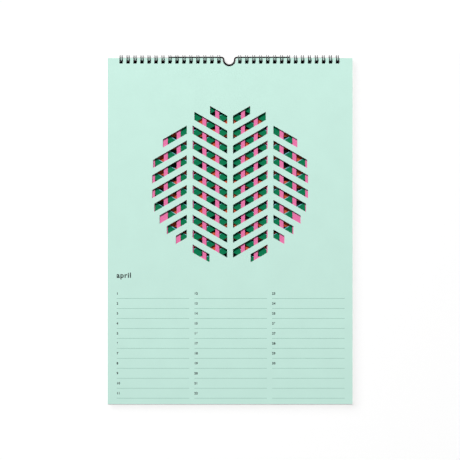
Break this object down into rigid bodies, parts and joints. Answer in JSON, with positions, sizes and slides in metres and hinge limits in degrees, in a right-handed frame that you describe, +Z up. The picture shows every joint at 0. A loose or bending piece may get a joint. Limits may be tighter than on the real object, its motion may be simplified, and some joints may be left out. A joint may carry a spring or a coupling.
{
  "type": "birthday calendar",
  "caption": "Wall birthday calendar with die-cut coloured leaves bound by twin-loop wire along the top edge, and a wire hanger with a hook in the thumb cut.",
  "frame": {"origin": "on the binding loops' common axis, in the middle of the hanger hook's gap, where the nail passes", "axes": "+X across the leaf to the reader's right, -Y towards the reader, +Z up the leaf"},
  "size_m": [0.297, 0.0096, 0.4246],
  "materials": {
    "mint_paper": "matte",
    "pink_paper": "matte",
    "green_paper": "matte",
    "light_blue_paper": "matte",
    "orange_red_paper": "matte",
    "dark_paper": "matte",
    "black_card": "matte",
    "turned_paper": "matte",
    "black_coated_wire": "satin"
  },
  "bodies": {
    "calendar_block": {"may_leaf": "pink_paper", "june_leaf": "green_paper", "july_leaf": "light_blue_paper", "august_leaf": "orange_red_paper", "later_leaves": "dark_paper", "back_card": "black_card", "turned_leaves": "turned_paper", "left_binding_wire": "black_coated_wire", "right_binding_wire": "black_coated_wire"},
    "front_leaf": {"april_leaf": "mint_paper"},
    "hanger": {"hanger_wire": "black_coated_wire"}
  },
  "joints": [
    {"name": "leaf_turn", "type": "hinge", "parent": "calendar_block", "child": "front_leaf", "pos_m": [0, 0, 0], "axis": [1, 0, 0], "range_deg": [-195, 0]},
    {"name": "hanger_swing", "type": "hinge", "parent": "calendar_block", "child": "hanger", "pos_m": [0, 0, 0.00155], "axis": [1, 0, 0], "range_deg": [0, 180]}
  ]
}
